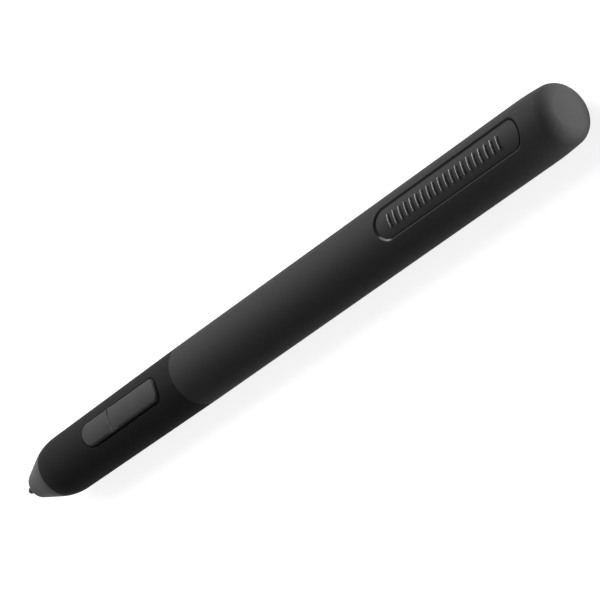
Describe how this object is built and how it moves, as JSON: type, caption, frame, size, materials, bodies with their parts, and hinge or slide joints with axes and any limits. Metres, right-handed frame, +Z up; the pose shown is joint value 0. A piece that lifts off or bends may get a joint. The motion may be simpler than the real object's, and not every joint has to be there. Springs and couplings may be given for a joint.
{
  "type": "digital pen for a graphics tablet",
  "caption": "Slim round matte black digital pen for a graphics tablet, with a soft grip, side keys in a slot, a replaceable nib and an oblong inlay near the tail.",
  "frame": {"origin": "under the pen's middle, on the surface that it lies on", "axes": "+X along the pen from the nib to the tail, +Z up through the side keys"},
  "size_m": [0.168, 0.012, 0.0122],
  "materials": {
    "cone": "fine satin moulded plastic, charcoal grey",
    "grip": "soft-touch black, very fine grain",
    "barrel": "soft matte black plastic",
    "keys": "satin dark grey plastic",
    "inlay": "satin black plastic",
    "shell": "moulded black plastic",
    "nib": "dense black acetal, polished at the tip",
    "white_plastic": "natural acetal",
    "ferrite": "sintered dark grey ferrite",
    "copper": "enamelled copper wire",
    "spring_steel": "bright spring wire",
    "conductive_rubber": "conductive black rubber",
    "ceramic": "ceramic",
    "board": "green solder mask",
    "chip": "black moulding compound",
    "screw_steel": "plated steel",
    "buffer_rubber": "dark grey rubber"
  },
  "bodies": {
    "housing": {"nose_cone": "cone", "grip_sleeve": "grip", "front_shell": "shell", "barrel": "barrel", "barrel_inlay": "inlay", "ferrite_core": "ferrite", "coil_winding": "copper", "coil_leads": "copper", "return_spring": "spring_steel", "pressure_sensor": "ceramic", "sensor_cup": "shell", "core_carrier": "shell", "circuit_board": "board", "board_screws": "screw_steel", "front_switch": "chip", "rear_switch": "chip", "control_chip": "chip", "tuning_trimmer": "ceramic", "capacitors": "ceramic", "carrier_buffer": "buffer_rubber"},
    "nib": {"nib": "nib"},
    "nib_carriage": {"nib_holder": "white_plastic", "contact_pad": "conductive_rubber"},
    "front_key": {"front_button": "keys", "front_switch_plunger": "white_plastic"},
    "rear_key": {"rear_button": "keys", "rear_switch_plunger": "white_plastic"}
  },
  "joints": [
    {"name": "nib_press", "type": "slide", "parent": "housing", "child": "nib_carriage", "axis": [1, 0, 0], "range_m": [0, 0.0004], "stiffness_N_per_m": 6000, "deforming": ["return_spring"]},
    {"name": "nib_pull", "type": "slide", "parent": "nib_carriage", "child": "nib", "axis": [-1, 0, 0], "range_m": [0, 0.02]},
    {"name": "front_button_press", "type": "slide", "parent": "housing", "child": "front_key", "axis": [0, 0, -1], "range_m": [0, 0.00035], "stiffness_N_per_m": 4000},
    {"name": "rear_button_press", "type": "slide", "parent": "housing", "child": "rear_key", "axis": [0, 0, -1], "range_m": [0, 0.00035], "stiffness_N_per_m": 4000}
  ]
}
